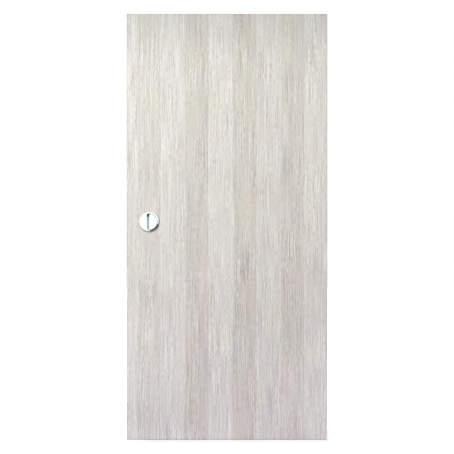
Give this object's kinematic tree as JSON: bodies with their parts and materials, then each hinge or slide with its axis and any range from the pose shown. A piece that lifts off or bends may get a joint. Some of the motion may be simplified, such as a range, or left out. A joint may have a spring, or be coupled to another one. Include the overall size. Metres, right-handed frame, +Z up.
{
  "type": "sliding door leaf",
  "caption": "Flush pale wood-decor sliding door leaf that hangs from its top edge, with a round half-moon flush pull in each face and a floor-guide groove along its bottom edge.",
  "frame": {"origin": "middle of the leaf's top edge, on the face that the roller hangers bolt to", "axes": "+Z up; the front face looks along -Y; +X runs along the leaf from its leading edge, which has the pulls, to its trailing edge"},
  "size_m": [0.96, 0.05, 2.04],
  "materials": {
    "decor": "whitewashed wood decor in upright boards, satin",
    "edging": "edging in the colour of the decor, satin",
    "softwood": "bare planed softwood",
    "honeycomb": "brown paper honeycomb, not seen",
    "pull_metal": "satin stainless steel"
  },
  "bodies": {
    "root": {"bottom_rail": "softwood", "core_infill": "honeycomb", "front_pull_cup": "pull_metal", "front_pull_plate": "pull_metal", "front_skin": "decor", "left_edge_band": "edging", "left_stile": "softwood", "pull_block": "softwood", "rear_pull_cup": "pull_metal", "rear_pull_plate": "pull_metal", "rear_skin": "decor", "right_edge_band": "edging", "right_stile": "softwood", "top_rail": "softwood"}
  },
  "joints": []
}
